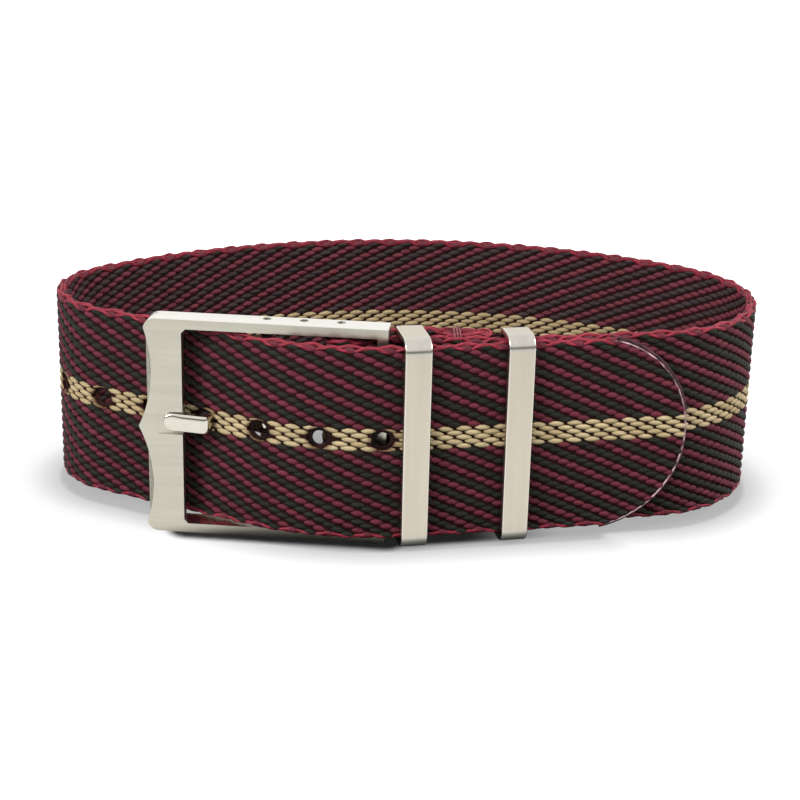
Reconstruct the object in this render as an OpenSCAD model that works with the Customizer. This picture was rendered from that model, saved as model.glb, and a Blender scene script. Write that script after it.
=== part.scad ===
// Woven nylon watch strap, closed into a loop, with a steel pin buckle and two steel keepers.
// X runs along the straight tail of the strap, Y points from the tail into the loop, Z is up.

/* [Ribbon] */
// Width of the woven ribbon
strap_w = 22; // [20:1:24]
// Thickness of the woven ribbon
strap_t = 1.25; // [1.1:0.05:1.35]
// Gap between layers that lie loose on each other
layer_gap = 0.3; // [0.2:0.05:0.5]
// Length of the tail from the front corner to its tip
tail_len = 30.7; // [26:0.5:32]
// How much rounder than half the width the tip's radius is
tip_ease = 0.07; // [0.02:0.01:0.5]

/* [Loop] */
// Radius of the front corner, at the middle of the ribbon
corner_r = 27.15; // [26.5:0.1:28]
// Turn of the front corner in degrees
corner_turn = 38.4; // [37:0.2:40]
// Radius of the left end
left_r = 9.95; // [8:0.5:12]
// Turn of the left end in degrees
left_turn = 109.5; // [105:0.5:115]
// Radius of the long back of the loop
back_r = 56.05; // [50:0.5:60]
// Turn of the long back in degrees
back_turn = 77.7; // [74:0.5:80]
// Radius of the right end
right_r = 14.35; // [12:0.5:16]

/* [Pinholes] */
// Number of pinholes
hole_n = 7; // [5:1:7]
// Distance between pinholes
hole_pitch = 6.8; // [6.5:0.1:7]
// Distance of the first pinhole from the front corner
hole_first = 3.2; // [3:0.1:3.6]
// Radius of a pinhole
hole_r = 1.2; // [0.8:0.05:1.4]
// Radius of the pinhole that the tongue has stretched
used_hole_r = 1.5; // [1.45:0.05:1.6]
// Height of the pinholes above the ribbon's lower edge
hole_z = 11.5; // [10:0.25:12]

/* [Fold round the strap bar] */
// Slope of the layers beside the tail, in degrees
slope = 10; // [9:0.5:11]
// Turn of the ribbon where it passes the rear cross bar, in degrees
dip = 3; // [2:0.5:4]
// Radius of the gentle bends of the fold
ease_r = 10; // [8:0.5:12]
// Straight stretch between the strap bar and the first bend
bar_run = 4.6; // [4.2:0.1:5]
// Straight stretch of the folded layer behind the fixed keeper
return_len = 9.4; // [9:0.1:9.8]
// Turn of the folded layer down on to the others, in degrees
drop_turn = 30; // [26:1:34]
// Radius of that turn
drop_r = 2; // [1.5:0.1:2.4]
// Gap between the sewn layers
sewn_gap = 0.1; // [0.06:0.01:0.2]
// How far the fold reaches along the tail
fold_reach = 9.4; // [9.2:0.1:10.4]
// Length of the cut end that is turned under
turn_under = 4.1; // [3.6:0.1:4.2]

/* [Stitches] */
// Thickness of the sewing thread
thread = 0.3; // [0.2:0.02:0.36]
// Distance of the stitches from the end of the fold's straight stretch
stitch_in = 2.6; // [2.2:0.1:2.8]
// Length of one stitch of the row
stitch_len = 1.7; // [1.2:0.1:1.9]
// Distance from one stitch to the next
stitch_pitch = 2.3; // [2.2:0.1:2.6]
// Height of an edge wrap on the ribbon's face
tack_h = 1.7; // [1.2:0.1:1.8]
// Number of thread wraps at each edge
tack_n = 3; // [2:1:4]
// Distance between edge wraps
tack_pitch = 0.46; // [0.42:0.02:0.5]

/* [Buckle frame] */
// Turn of the frame against the tail, in degrees
frame_yaw = 17; // [16.5:0.25:17.5]
// Distance of the strap bar behind the front corner
bar_back = 7.06; // [6.9:0.05:7.2]
// Gap between the tail and the rear cross bar
rear_gap = 0.66; // [0.6:0.02:0.8]
// Depth of the arms, from the outer to the inner face
frame_depth = 2.8; // [2.7:0.05:3]
// Distance of the arm holes from the outer face
face_out = 2; // [1.9:0.05:2.1]
// Thickness of an arm
arm_t = 1.05; // [0.9:0.05:1.4]
// Gap between the ribbon's edge and an arm
side_gap = 0.25; // [0.2:0.05:0.35]
// Reach of the arms from the strap bar to their rear ends
arm_rear = 5.26; // [5.1:0.02:5.4]
// Gap between the bend of the tongue and the front bar
bend_gap = 1.6; // [1.4:0.05:1.7]
// Width of the front bar at its narrowest
front_bar_w = 3.35; // [3:0.05:4]
// Width of the front bar at its corners
front_corner_w = 4.15; // [3.9:0.05:4.6]
// Thickness of the front bar
front_bar_t = 1.3; // [1.2:0.05:1.35]
// Radius of each scallop in the front bar
scallop_r = 14.9; // [14:0.1:17]
// Distance of each scallop from the middle of the frame's height
scallop_z = 6.5; // [6.2:0.05:6.8]
// Radius of the front corners
corner_round = 1.3; // [0.8:0.1:1.6]
// Width of the rear cross bar
rear_bar_w = 1.16; // [1:0.02:1.3]
// Thickness of the rear cross bar
rear_bar_t = 0.8; // [0.6:0.05:0.85]
// Radius of the arm holes
arm_hole_r = 0.45; // [0.44:0.01:0.5]
// Distance between the arm holes
arm_hole_pitch = 4; // [3.9:0.05:4.1]
// Number of hole pairs in the arms
arm_hole_n = 3; // [3:1:3]

/* [Tongue] */
// Width of the tongue
tongue_w = 2.1; // [1.8:0.1:2.2]
// Thickness of the tongue
tongue_t = 0.75; // [0.65:0.05:0.8]
// Radius of the tongue's eye
eye_r = 1.22; // [1.15:0.01:1.25]
// Depth of the seat in the front bar
seat_depth = 0.7; // [0.6:0.05:0.75]
// How far the tongue reaches over the front bar
tongue_over = 2; // [1.8:0.1:2.4]
// How far the tongue passes from the middle of its pinhole
tongue_aside = 0.5; // [0.3:0.05:0.55]
// Play between the tongue and its seat
seat_play = 0.06; // [0.04:0.01:0.1]
// Room between the tongue and the ribbon's inner face
tongue_room = 1; // [0.9:0.05:1.1]

/* [Spring bars] */
// Radius of a spring bar's tube
tube_r = 0.75; // [0.7:0.01:0.76]
// Radius of the bore in the tube
tube_bore_r = 0.5; // [0.49:0.01:0.54]
// Radius of a pin's body
pin_body_r = 0.45; // [0.43:0.01:0.46]
// Radius of a pin's tip
pin_tip_r = 0.38; // [0.36:0.01:0.4]
// Length of a pin's body inside the tube
pin_body_len = 3.6; // [3:0.1:4]
// Thickness of the tube's rolled lip
lip_t = 0.25; // [0.2:0.05:0.3]
// Play of a part that turns or slides on another
running_play = 0.05; // [0.04:0.01:0.07]
// Gap between a tube's end and the arm
tube_end_gap = 0.3; // [0.25:0.05:0.4]
// How far a pin's tip stays below the arm's outer face
tip_sunk = 0.15; // [0.1:0.05:0.3]
// Wire thickness of the spring
spring_wire = 0.14; // [0.1:0.01:0.16]

/* [Keepers] */
// Width of a keeper along the strap
keeper_w = 2.9; // [2.6:0.05:3]
// Wall of a keeper
keeper_t = 0.65; // [0.5:0.05:0.7]
// Radius of a keeper's outer corners
keeper_round = 1.1; // [0.8:0.05:1.3]
// Gap between a keeper and the tail's outer face
keeper_front_gap = 0.35; // [0.3:0.05:0.45]
// Gap between a keeper and the ribbon behind it
keeper_back_gap = 0.3; // [0.25:0.05:0.35]
// Gap between a keeper and the ribbon's edges
keeper_side_gap = 0.3; // [0.25:0.05:0.4]
// Gap between the buckle and the fixed keeper
keeper_rest_gap = 0.5; // [0.45:0.05:0.6]

/* [Hidden] */
$fn = 96;
// How far a cut runs past a face, and how many degrees of a bend one flat stretch of ribbon takes
past = 1;
facet = 5;
// Play between a piece of thread and its groove, and between a pin and its tube's lip
stitch_play = 0.03;
shoulder_play = 0.02;

// Heights of the frame, measured from the ribbon's lower edge
window_h = strap_w + 2 * side_gap;
frame_h = window_h + 2 * arm_t;
lift = side_gap + arm_t;
right_turn = 360 - corner_turn - left_turn - back_turn;

// The middle of the tail and of the ribbon that lies straight behind it
tail_y = strap_t / 2;
main_y = tail_y + strap_t + layer_gap;
tip_r = strap_w / 2 + tip_ease;
tip_len = tip_r - sqrt(tip_r * tip_r - strap_w * strap_w / 4);

// A pose is [x, y, heading], a step is [length, 0] or [radius, turn]
function step_centre(p, s) =
    let (side = sign(s[1])) [p[0] - side * s[0] * sin(p[2]), p[1] + side * s[0] * cos(p[2])];
function step_end(p, s) = s[1] == 0
    ? [p[0] + s[0] * cos(p[2]), p[1] + s[0] * sin(p[2]), p[2]]
    : let (c = step_centre(p, s), h = p[2] + s[1], side = sign(s[1]))
        [c[0] + side * s[0] * sin(h), c[1] - side * s[0] * cos(h), h];
function follow(p, steps, n) = n == 0 ? p : step_end(follow(p, steps, n - 1), steps[n - 1]);
function after(p, steps) = follow(p, steps, len(steps));
function beside(p, d) = [p[0] - d * sin(p[2]), p[1] + d * cos(p[2])];
function cuts(s) = s[1] == 0 ? 1 : ceil(abs(s[1]) / facet);
function part_step(s, f) = s[1] == 0 ? [s[0] * f, 0] : [s[0], s[1] * f];
function poses_along(p, steps) = [p, for (i = [0 : len(steps) - 1])
    let (q = follow(p, steps, i), n = cuts(steps[i]))
    for (k = [1 : n]) step_end(q, part_step(steps[i], k / n))];

// The loop, from the tail's tip to the right end; the straight left side closes it
tip = [tail_len, tail_y, 180];
function loop_steps(side_len) = [
    [tail_len, 0],
    [corner_r, -corner_turn],
    [side_len, 0],
    [left_r, -left_turn],
    [back_r, -back_turn],
    [right_r, -right_turn]];
side_len = (main_y - after(tip, loop_steps(0))[1]) / sin(corner_turn);
loop_route = loop_steps(side_len);
loop_end = after(tip, loop_route);

// The strap bar, behind the rear cross bar and the tail
wrap_r = tube_r + running_play + strap_t / 2;
bar_y = strap_t + rear_gap + arm_rear * sin(frame_yaw) + face_out * cos(frame_yaw);
bar = [-bar_back, bar_y];
bar_arrival = [bar[0] + wrap_r * sin(dip), bar[1] - wrap_r * cos(dip)];

// The fold: under the tail, past the rear cross bar, round the strap bar, back, and turned under
sewn_pitch = strap_t + sewn_gap;
hem_r = sewn_pitch / 2;
function fold_steps(main_len, slope_len) = [
    [main_len, 0],
    [ease_r, -slope],
    [slope_len, 0],
    [ease_r, slope + dip],
    [bar_run, 0]];
slope_len = (bar_arrival[1] - after(loop_end, fold_steps(0, 0))[1]) / sin(slope);
main_len = after(loop_end, fold_steps(0, slope_len))[0] - bar_arrival[0];
fold_route = fold_steps(main_len, slope_len);
fold_end = after(loop_end, fold_route);
slope_start = follow(loop_end, fold_route, 2);
slope_dir = [cos(slope), -sin(slope)];
slope_in = [sin(slope), cos(slope)];
function along(p, d) = p[0] * d[0] + p[1] * d[1];

function return_steps(drop_len, hem_len) = [
    [wrap_r, -(180 + dip)],
    [return_len, 0],
    [drop_r, -drop_turn],
    [drop_len, 0],
    [drop_r, drop_turn - slope],
    [hem_len, 0],
    [hem_r, -180],
    [turn_under, 0]];
drop_foot = follow(fold_end, return_steps(0, 0), 5);
drop_len = (along(drop_foot - slope_start, slope_in) - 2 * sewn_pitch) / sin(drop_turn - slope);
hem_start = follow(fold_end, return_steps(drop_len, 0), 5);
hem_len = (fold_reach - hem_r - strap_t / 2 + hem_r * sin(slope) - hem_start[0]) / cos(slope);
return_route = return_steps(drop_len, hem_len);
hem_turn = follow(fold_end, return_route, 6);

// The box of the loop, which is centred on the origin
left_centre = step_centre(follow(tip, loop_route, 3), loop_route[3]);
back_centre = step_centre(follow(tip, loop_route, 4), loop_route[4]);
right_centre = step_centre(follow(tip, loop_route, 5), loop_route[5]);
keeper_front = -keeper_front_gap - keeper_t;
box_left = left_centre[0] - left_r - strap_t / 2;
box_right = right_centre[0] + right_r + strap_t / 2;
box_back = back_centre[1] + back_r + strap_t / 2;
middle = [(box_left + box_right) / 2, (keeper_front + box_back) / 2];

// Pinholes, by their distance from the front corner along the middle of the ribbon
corner_start = follow(tip, loop_route, 1);
corner_len = corner_r * corner_turn * PI / 180;
function ribbon_pose(d) =
    d < corner_len ? step_end(corner_start, [corner_r, -d / corner_r * 180 / PI])
    : d < corner_len + side_len ? step_end(follow(tip, loop_route, 2), [d - corner_len, 0])
    : step_end(follow(tip, loop_route, 3), [left_r, -(d - corner_len - side_len) / left_r * 180 / PI]);
used_hole = 3;
used_pose = ribbon_pose(hole_first + used_hole * hole_pitch);

// Points in the frame's own axes: from the strap bar, x towards the rear ends, y inwards
function in_frame(p) = let (d = [p[0] - bar[0], p[1] - bar[1]])
    [d[0] * cos(frame_yaw) - d[1] * sin(frame_yaw), d[0] * sin(frame_yaw) + d[1] * cos(frame_yaw)];
face_in = frame_depth - face_out;
tongue_bar_x = -(arm_hole_n - 1) * arm_hole_pitch;
tongue_out_y = -face_out + seat_depth - seat_play - tongue_t / 2;
tongue_lean = corner_turn - frame_yaw;
cross = in_frame(used_pose) + [tongue_aside, 0];
cross_dir = [sin(tongue_lean), cos(tongue_lean)];
tongue_knee = cross + cross_dir * (tongue_out_y - cross[1]) / cross_dir[1];
tongue_heel = cross + cross_dir * (strap_t / 2 + tongue_room + tongue_t / 2);
tongue_root = [tongue_bar_x, tongue_t / 2 - eye_r];
window_reach = bend_gap + tongue_t / 2 - tongue_knee[0];
tongue_tip = [-window_reach - tongue_over, tongue_out_y];

// Keepers
keeper_h = strap_w + 2 * keeper_side_gap + 2 * keeper_t;
arm_end_x = bar[0] + arm_rear * cos(frame_yaw) + face_in * sin(frame_yaw);
fixed_x = arm_end_x + keeper_rest_gap;
free_x = fold_reach + keeper_rest_gap;
slope_foot = along(slope_start, slope_in);
fixed_back = (slope_foot - (fixed_x - layer_gap) * sin(slope)) / cos(slope)
    + strap_t / 2 + keeper_back_gap + keeper_t;
free_back = main_y + strap_t / 2 + keeper_back_gap + keeper_t;

// Spring bars
tube_z = -side_gap + tube_end_gap;
tube_len = strap_w - 2 * tube_z;
lip_r = pin_tip_r + running_play;
tip_len_out = tube_end_gap + arm_t - tip_sunk;
pin_inner = tube_z + lip_t + shoulder_play + pin_body_len;

module place() {
    translate([-middle[0], -middle[1], lift]) children();
}

module in_frame_axes() {
    translate([bar[0], bar[1], 0]) rotate([0, 0, -frame_yaw]) children();
}

// The ribbon on edge along a route
module ribbon(start, steps) {
    poses = poses_along(start, steps);
    side = strap_t / 2;
    back = [for (i = [len(poses) - 1 : -1 : 0]) beside(poses[i], -side)];
    linear_extrude(strap_w) polygon(concat([for (p = poses) beside(p, side)], back));
}

// The corners that are cut off to round the tip
module tip_offcuts() {
    half_gap = layer_gap / 2;
    translate([tail_len - tip_len, -half_gap, -past]) difference() {
        cube([tip_len + past, strap_t + 2 * half_gap, strap_w + 2 * past]);
        translate([tip_len - tip_r, -past, strap_w / 2 + past]) rotate([-90, 0, 0])
            cylinder(r = tip_r, h = strap_t + 2 * past);
    }
}

module pinhole(p, r) {
    translate([p[0], p[1], hole_z]) rotate([0, 0, p[2]]) rotate([90, 0, 0])
        cylinder(r = r, h = 2 * strap_t, center = true);
}

// Axes at the stitches: x along the fold, y inwards, from the middle of the folded layer
module at_stitches() {
    translate([hem_turn[0], hem_turn[1], 0]) rotate([0, 0, -slope]) translate([-stitch_in, 0, 0]) children();
}

// One closed loop of thread through the three sewn layers, grown by more on every side
module thread_loop(z0, z1, more) {
    out_y = -2 * sewn_pitch - strap_t / 2 - thread / 2;
    deep = 2 * sewn_pitch + strap_t + thread;
    translate([-thread / 2 - more, out_y - more, z0 - more]) difference() {
        cube([thread + 2 * more, deep + 2 * more, z1 - z0 + 2 * more]);
        translate([-past, thread + 2 * more, thread + 2 * more])
            cube([thread + 2 * (more + past), deep - 2 * thread - 2 * more, z1 - z0 - 2 * thread - 2 * more]);
    }
}

module stitch_row(more) {
    span = strap_w - 2 * (tack_h + stitch_pitch);
    n = floor(span / stitch_pitch);
    first = (strap_w - (n - 1) * stitch_pitch - stitch_len) / 2;
    at_stitches() for (i = [0 : n - 1]) translate([0, 0, first + i * stitch_pitch])
        thread_loop(0, stitch_len, more);
}

module edge_tack(z0, z1, more) {
    at_stitches() for (i = [0 : tack_n - 1]) translate([(i - (tack_n - 1) / 2) * tack_pitch, 0, 0])
        thread_loop(z0, z1, more);
}

module strap_band() {
    color("#6b2038") place() difference() {
        ribbon(tip, concat(loop_route, fold_route, return_route));
        tip_offcuts();
        for (i = [0 : hole_n - 1])
            pinhole(ribbon_pose(hole_first + i * hole_pitch), i == used_hole ? used_hole_r : hole_r);
        stitch_row(stitch_play);
        edge_tack(strap_w - tack_h, strap_w + thread + stitch_play, stitch_play);
        edge_tack(-thread - stitch_play, tack_h, stitch_play);
    }
}

module fold_stitch_row() {
    color("#8d8480") place() stitch_row(0);
}

module top_edge_tack() {
    color("#8d8480") place() edge_tack(strap_w - tack_h, strap_w + thread + stitch_play, 0);
}

module bottom_edge_tack() {
    color("#8d8480") place() edge_tack(-thread - stitch_play, tack_h, 0);
}

// Outline of the frame seen from outside, from its lower edge: two scallops leave a point between them
module frame_outline() {
    left = -window_reach - front_corner_w;
    middle_z = frame_h / 2;
    difference() {
        union() {
            translate([left + corner_round, 0]) square([arm_rear - left - corner_round, frame_h]);
            translate([left, corner_round]) square([2 * corner_round, frame_h - 2 * corner_round]);
            for (z = [corner_round, frame_h - corner_round]) translate([left + corner_round, z])
                circle(r = corner_round);
            translate([left - corner_round, middle_z - scallop_z]) square([2 * corner_round, 2 * scallop_z]);
        }
        for (side = [-1, 1]) translate([-window_reach - front_bar_w - scallop_r, middle_z + side * scallop_z])
            circle(r = scallop_r);
    }
}

module buckle_frame() {
    seat_w = tongue_w + 2 * side_gap;
    color("#c9c4ba") place() in_frame_axes() difference() {
        translate([0, face_in, -lift]) rotate([90, 0, 0]) linear_extrude(frame_depth) frame_outline();
        translate([-window_reach, -face_out - past, -side_gap])
            cube([window_reach + arm_rear - rear_bar_w, frame_depth + 2 * past, window_h]);
        translate([-window_reach - 2 * front_corner_w, -face_out + front_bar_t, -side_gap])
            cube([2 * front_corner_w + past, frame_depth, window_h]);
        translate([arm_rear - rear_bar_w - past, -face_out + rear_bar_t, -side_gap])
            cube([rear_bar_w + 2 * past, frame_depth, window_h]);
        translate([tongue_tip[0] - tongue_t, -face_out - past, hole_z - seat_w / 2])
            cube([tongue_over + tongue_t + past, past + seat_depth, seat_w]);
        for (i = [0 : arm_hole_n - 1]) translate([-i * arm_hole_pitch, 0, -lift - past])
            cylinder(r = arm_hole_r, h = frame_h + 2 * past);
    }
}

// A flat strip between two points with round ends, in plan
module strip(p, q) {
    d = q - p;
    translate(p) rotate(atan2(d[1], d[0])) translate([0, -tongue_t / 2]) square([norm(d), tongue_t]);
    for (e = [p, q]) translate(e) circle(r = tongue_t / 2);
}

module tongue() {
    color("#d6d2c8") place() in_frame_axes() translate([0, 0, hole_z - tongue_w / 2])
        linear_extrude(tongue_w) difference() {
            union() {
                strip(tongue_tip, tongue_knee);
                strip(tongue_knee, tongue_heel);
                strip(tongue_heel, tongue_root);
                translate([tongue_bar_x, 0]) circle(r = eye_r);
            }
            translate([tongue_bar_x, 0]) circle(r = tube_r + running_play);
        }
}

module bar_tube() {
    translate([0, 0, tube_z]) difference() {
        cylinder(r = tube_r, h = tube_len);
        translate([0, 0, lip_t]) cylinder(r = tube_bore_r, h = tube_len - 2 * lip_t);
        translate([0, 0, -past]) cylinder(r = lip_r, h = tube_len + 2 * past);
    }
}

module bottom_pin() {
    body_z = tube_z + lip_t + shoulder_play;
    translate([0, 0, body_z]) cylinder(r = pin_body_r, h = pin_body_len);
    translate([0, 0, tube_z - tip_len_out]) cylinder(r = pin_tip_r, h = body_z - tube_z + tip_len_out);
}

module top_pin() {
    translate([0, 0, strap_w]) mirror([0, 0, 1]) bottom_pin();
}

module bar_spring() {
    spring_r = tube_bore_r - running_play;
    translate([0, 0, pin_inner + shoulder_play]) difference() {
        cylinder(r = spring_r, h = strap_w - 2 * (pin_inner + shoulder_play));
        translate([0, 0, -past]) cylinder(r = spring_r - spring_wire, h = strap_w);
    }
}

module at_tongue_bar() {
    place() in_frame_axes() translate([tongue_bar_x, 0, 0]) children();
}

module at_strap_bar() {
    place() in_frame_axes() children();
}

module tongue_bar_tube() {
    color("#a8a49c") at_tongue_bar() bar_tube();
}

module tongue_bar_top_pin() {
    color("#bcb8b0") at_tongue_bar() top_pin();
}

module tongue_bar_bottom_pin() {
    color("#bcb8b0") at_tongue_bar() bottom_pin();
}

module tongue_bar_spring() {
    color("#8c8880") at_tongue_bar() bar_spring();
}

module strap_bar_tube() {
    color("#a8a49c") at_strap_bar() bar_tube();
}

module strap_bar_top_pin() {
    color("#bcb8b0") at_strap_bar() top_pin();
}

module strap_bar_bottom_pin() {
    color("#bcb8b0") at_strap_bar() bottom_pin();
}

module strap_bar_spring() {
    color("#8c8880") at_strap_bar() bar_spring();
}

// A rectangle with round corners, from the origin
module round_rect(w, h, r) {
    translate([r, 0]) square([w - 2 * r, h]);
    translate([0, r]) square([w, h - 2 * r]);
    for (x = [r, w - r], y = [r, h - r]) translate([x, y]) circle(r = r);
}

// A band of metal bent into a rectangle round the strap, from x along the strap and back to depth
module keeper(x, back) {
    inner_round = keeper_round - keeper_t;
    deep = back - keeper_front;
    translate([x, keeper_front, -keeper_side_gap - keeper_t]) rotate([90, 0, 90])
        linear_extrude(keeper_w) difference() {
            round_rect(deep, keeper_h, keeper_round);
            translate([keeper_t, keeper_t])
                round_rect(deep - 2 * keeper_t, keeper_h - 2 * keeper_t, inner_round);
        }
}

module fixed_keeper() {
    color("#d9d0c2") place() keeper(fixed_x, fixed_back);
}

module free_keeper() {
    color("#d9d0c2") place() keeper(free_x, free_back);
}

strap_band();
fold_stitch_row();
top_edge_tack();
bottom_edge_tack();
buckle_frame();
tongue();
tongue_bar_tube();
tongue_bar_top_pin();
tongue_bar_bottom_pin();
tongue_bar_spring();
strap_bar_tube();
strap_bar_top_pin();
strap_bar_bottom_pin();
strap_bar_spring();
fixed_keeper();
free_keeper();
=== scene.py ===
import math

import bmesh
import bpy
import numpy as np
from mathutils import Matrix, Vector
from mathutils.geometry import delaunay_2d_cdt


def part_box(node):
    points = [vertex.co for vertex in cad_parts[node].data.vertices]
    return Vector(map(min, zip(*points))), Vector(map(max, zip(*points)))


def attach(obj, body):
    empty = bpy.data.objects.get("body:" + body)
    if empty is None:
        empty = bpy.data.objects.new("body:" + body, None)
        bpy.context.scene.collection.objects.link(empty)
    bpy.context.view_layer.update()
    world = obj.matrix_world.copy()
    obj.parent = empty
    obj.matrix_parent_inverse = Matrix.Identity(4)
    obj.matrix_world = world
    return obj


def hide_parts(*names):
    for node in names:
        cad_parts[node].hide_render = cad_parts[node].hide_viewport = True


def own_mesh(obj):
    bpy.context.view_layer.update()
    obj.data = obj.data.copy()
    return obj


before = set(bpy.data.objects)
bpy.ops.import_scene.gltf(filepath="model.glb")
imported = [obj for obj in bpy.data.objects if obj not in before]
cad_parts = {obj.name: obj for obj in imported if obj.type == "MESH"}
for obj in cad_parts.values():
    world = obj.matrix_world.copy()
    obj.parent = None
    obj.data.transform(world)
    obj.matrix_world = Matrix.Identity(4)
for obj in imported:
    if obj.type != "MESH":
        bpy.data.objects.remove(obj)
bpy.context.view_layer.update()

scene = bpy.context.scene
MM = 0.001

# The ribbon, in millimetres
WIDTH = 22.0
THICK = 1.25
LIFT = 1.3
MIDDLE = (3.38792, 21.512)
HOLE_Z = 11.5
HOLE_R = 1.2
HOLES = 7
USED_HOLE = 3
USED_HOLE_R = 1.62
HOLE_PITCH = 6.8
TAIL = 30.7
FIRST_HOLE = TAIL + 3.2
TIP_R = 11.07
SEAL_R = TIP_R - 0.12

# Its middle line, from the tail's tip: straight lengths (mm, 0) and bends (radius, degrees)
TIP_POSE = (TAIL, THICK / 2, 180.0)
ROUTE = [
    (TAIL, 0), (27.15, -38.4), (19.4895, 0),        # tail, front corner, left side
    (9.95, -109.5), (56.05, -77.7), (14.35, -134.4),  # left end, back, right end
    (17.0137, 0), (10, -10), (9.86502, 0), (10, 13), (4.6, 0),  # under the tail to the strap bar
    (1.425, -183), (9.4, 0), (2, -30), (0.649675, 0), (2, 20), (3.71836, 0),  # round the bar and back
    (0.675, -180), (4.1, 0),                        # the end turned under
]

# The weave: floats of yarn in rows, each row a pick along from the one above
ROWS = 43
ROW_PITCH = 0.5
PICKS = 252
STRIPE_ROWS = (18, 22)
CORDS_FROM = 8.57     # where the tip's sealed edge ends and the edge cords start

# The sewing through the fold, in the axes of its seam
HEM = (8.21721, 5.30945)
LAYER = 1.35
SEAM = (-2.6, -1.2)
STITCH = 2.3
WRAP = 0.32
TACK_IN = 0.68

# The steel pieces
YAW = 17.0
BAR = (-7.06, 5.36048)
BAR_IN_TUBE = 0.8
EYE_R = 1.22
TONGUE_W = 2.1
TONGUE_T = 0.75


def sin(a):
    return math.sin(math.radians(a))


def cos(a):
    return math.cos(math.radians(a))


def step_length(step):
    return step[0] if step[1] == 0 else step[0] * math.radians(abs(step[1]))


def step_end(pose, step, share=1.0):
    x, y, h = pose
    size, turn = step
    if turn == 0:
        return x + size * share * cos(h), y + size * share * sin(h), h
    side = math.copysign(1, turn)
    cx = x - side * size * sin(h)
    cy = y + side * size * cos(h)
    h += turn * share
    return cx + side * size * sin(h), cy - side * size * cos(h), h


def stations(straight, degrees):
    """Points of the ribbon's middle line with their length along it, close enough together for its bends."""
    pose = TIP_POSE
    found = [(0.0, pose)]
    length = 0.0
    for step in ROUTE:
        parts = math.ceil(step_length(step) / straight if step[1] == 0 else abs(step[1]) / degrees)
        for i in range(1, parts + 1):
            found.append((length + step_length(step) * i / parts, step_end(pose, step, i / parts)))
        length += step_length(step)
        pose = step_end(pose, step)
    return found


LENGTH = sum(step_length(step) for step in ROUTE)
PICK = LENGTH / PICKS


def placed(x, y, z):
    """A point of the part's own axes in the row frame."""
    return (x - MIDDLE[0]) * MM, (y - MIDDLE[1]) * MM, (z + LIFT) * MM


def in_frame(x, y, z):
    """A point in the buckle's axes, from the strap bar, x towards the rear ends and y inwards."""
    return placed(BAR[0] + x * cos(YAW) + y * sin(YAW), BAR[1] - x * sin(YAW) + y * cos(YAW), z)


# Meshes and objects

def linked(name, data):
    obj = bpy.data.objects.new(name, data)
    scene.collection.objects.link(obj)
    return obj


def new_object(name, verts, faces, smooth=True):
    mesh = bpy.data.meshes.new(name)
    mesh.from_pydata([tuple(v) for v in verts], [], [tuple(f) for f in faces])
    mesh.validate()
    obj = linked(name, mesh)
    bm = bmesh.new()
    bm.from_mesh(mesh)
    bmesh.ops.recalc_face_normals(bm, faces=bm.faces)
    for face in bm.faces:
        face.smooth = smooth
    bm.to_mesh(mesh)
    bm.free()
    return obj


def finished(obj):
    """The object's modifiers made into its plain mesh."""
    bpy.context.view_layer.update()
    graph = bpy.context.evaluated_depsgraph_get()
    mesh = bpy.data.meshes.new_from_object(obj.evaluated_get(graph), preserve_all_data_layers=True, depsgraph=graph)
    mesh.name = obj.name
    obj.modifiers.clear()
    obj.data = mesh
    return obj


# Node trees

def put(tree, socket, value):
    if isinstance(value, bpy.types.NodeSocket):
        tree.links.new(value, socket)
    else:
        socket.default_value = value


def add(tree, kind, inputs=None, **settings):
    node = tree.nodes.new(kind)
    for name, value in settings.items():
        setattr(node, name, value)
    for key, value in (inputs or {}).items():
        put(tree, node.inputs[key], value)
    return node


def made(tree, kind, inputs=None, **settings):
    """The first output of a new node."""
    return add(tree, kind, inputs, **settings).outputs[0]


def calc(tree, operation, a, b=0.0, c=0.0):
    return made(tree, "ShaderNodeMath", {0: a, 1: b, 2: c}, operation=operation)


def plus(tree, a, b):
    return calc(tree, "ADD", a, b)


def minus(tree, a, b):
    return calc(tree, "SUBTRACT", a, b)


def times(tree, a, b):
    return calc(tree, "MULTIPLY", a, b)


def over(tree, a, b):
    return calc(tree, "DIVIDE", a, b)


def vec(tree, operation, a, b=(0, 0, 0)):
    node = add(tree, "ShaderNodeVectorMath", {0: a, 1: b}, operation=operation)
    return node.outputs["Value" if operation in ("LENGTH", "DISTANCE", "DOT_PRODUCT") else "Vector"]


def scaled(tree, a, scale):
    return add(tree, "ShaderNodeVectorMath", {0: a, "Scale": scale}, operation="SCALE").outputs["Vector"]


def xyz(tree, x=0.0, y=0.0, z=0.0):
    return made(tree, "ShaderNodeCombineXYZ", {"X": x, "Y": y, "Z": z})


def apart(tree, vector):
    return add(tree, "ShaderNodeSeparateXYZ", {0: vector}).outputs


def between(tree, value, low, high, to_low=0.0, to_high=1.0, kind="LINEAR"):
    inputs = {"Value": value, 1: low, 2: high, 3: to_low, 4: to_high}
    return add(tree, "ShaderNodeMapRange", inputs, interpolation_type=kind).outputs["Result"]


def random(tree, low, high, seed):
    return add(tree, "FunctionNodeRandomValue", {2: low, 3: high, "Seed": seed}, data_type="FLOAT").outputs[1]


def keep(tree, geometry, name, value, kind="FLOAT", domain="POINT"):
    inputs = {"Geometry": geometry, "Name": name, "Value": value}
    return made(tree, "GeometryNodeStoreNamedAttribute", inputs, data_type=kind, domain=domain)


def here(tree):
    """Where each point of the geometry is."""
    return made(tree, "GeometryNodeInputPosition")


def put_at(tree, geometry, place):
    return made(tree, "GeometryNodeSetPosition", {"Geometry": geometry, "Position": place})


def smooth(tree, geometry):
    return made(tree, "GeometryNodeSetShadeSmooth", {"Geometry": geometry})


def realized(tree, geometry):
    return made(tree, "GeometryNodeRealizeInstances", {0: geometry})


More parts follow.
